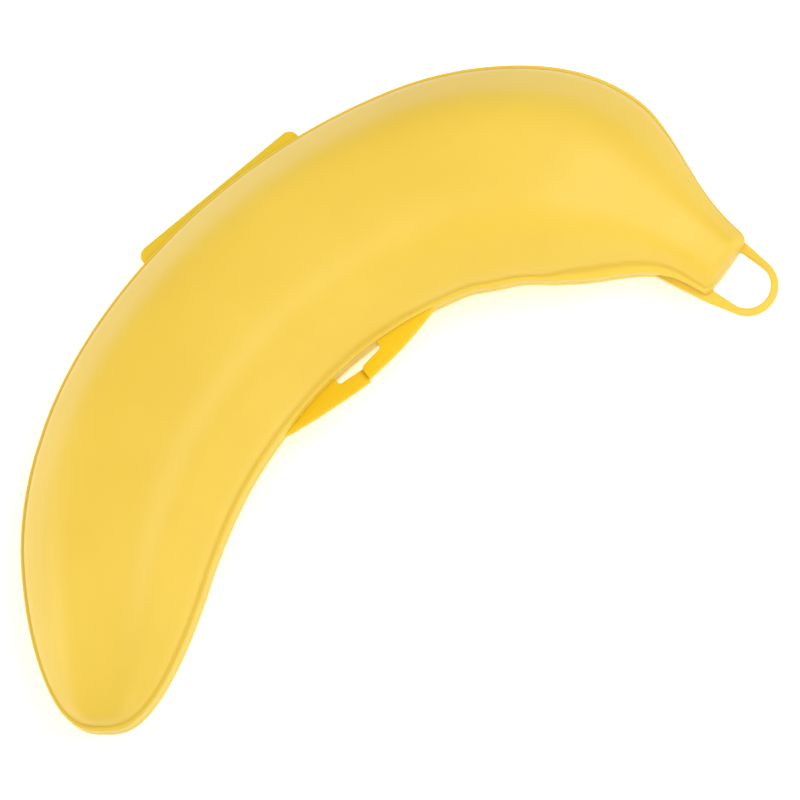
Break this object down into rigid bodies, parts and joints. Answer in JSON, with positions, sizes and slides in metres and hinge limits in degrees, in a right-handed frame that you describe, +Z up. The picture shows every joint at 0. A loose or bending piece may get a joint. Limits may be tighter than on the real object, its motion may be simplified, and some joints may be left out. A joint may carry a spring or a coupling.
{
  "type": "banana carrying case",
  "caption": "Banana-shaped clamshell carrying case with a domed lid and base, a folding hinge strip, slotted finger tabs to close it and a flat hanging loop.",
  "frame": {"origin": "centre of the bounding box in plan, on the plane that the belly rests on", "axes": "+X along the hinge line towards the stem, +Y towards the hinge on the outer curve, +Z up through the lid"},
  "size_m": [0.2328, 0.1282, 0.049],
  "materials": {
    "shell": "satin yellow polypropylene",
    "rim": "satin yellow polypropylene",
    "tab": "satin yellow polypropylene"
  },
  "bodies": {
    "base": {"lower_shell": "shell", "lower_rim": "rim", "locating_lip": "rim", "lower_hinge_leaf": "rim", "lower_latch_root": "tab", "hanging_loop": "rim", "hinge_web": "rim"},
    "lid": {"upper_shell": "shell", "upper_rim": "rim", "upper_hinge_leaf": "rim", "upper_latch_root": "tab"},
    "lower_finger": {"lower_latch_finger": "tab", "catch_nub": "tab"},
    "upper_finger": {"upper_latch_finger": "tab"}
  },
  "joints": [
    {"name": "lid_hinge", "type": "hinge", "parent": "base", "child": "lid", "pos_m": [0.00833, 0.06436, 0.0245], "axis": [-1, 0, 0], "range_deg": [0, 180], "deforming": ["hinge_web"]},
    {"name": "upper_tab_flex", "type": "hinge", "parent": "lid", "child": "upper_finger", "pos_m": [0.01653, -0.0054, 0.0258], "axis": [0, 1, 0], "range_deg": [0, 6], "stiffness_Nm_per_rad": 1.2},
    {"name": "lower_tab_flex", "type": "hinge", "parent": "base", "child": "lower_finger", "pos_m": [0.00113, -0.0054, 0.0232], "axis": [0, 1, 0], "range_deg": [0, 6], "stiffness_Nm_per_rad": 1.2}
  ]
}
